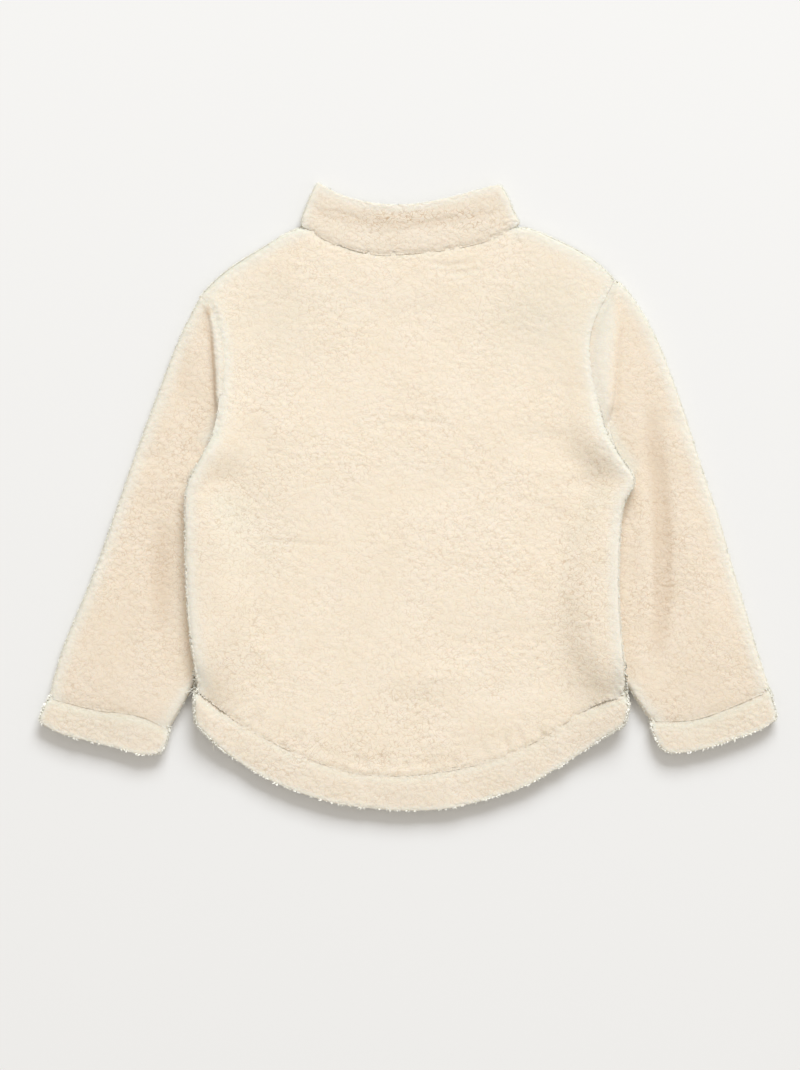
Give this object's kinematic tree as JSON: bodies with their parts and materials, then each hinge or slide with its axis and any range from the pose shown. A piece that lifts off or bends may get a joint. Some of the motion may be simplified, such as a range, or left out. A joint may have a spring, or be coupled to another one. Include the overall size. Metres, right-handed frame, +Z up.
{
  "type": "sherpa fleece pullover",
  "caption": "Child's sherpa fleece pullover with a stand collar, long sleeves and a curved hem, laid flat on a surface with its back up.",
  "frame": {"origin": "on the surface the pullover lies on, under the middle of its outline", "axes": "+X to the right across the sleeves as seen from above, +Y towards the collar, +Z up from the surface"},
  "size_m": [0.6466, 0.5516, 0.0228],
  "materials": {
    "body_fleece": "curly pile, matt",
    "sleeve_fleece": "curly pile, matt",
    "collar_fleece": "curly pile, matt",
    "band_fleece": "curly pile, matt"
  },
  "bodies": {
    "root": {"back": "body_fleece", "front": "body_fleece", "sleeve_left": "sleeve_fleece", "sleeve_right": "sleeve_fleece", "collar": "collar_fleece", "hem_band": "band_fleece", "cuff_left": "band_fleece", "cuff_right": "band_fleece"}
  },
  "joints": []
}
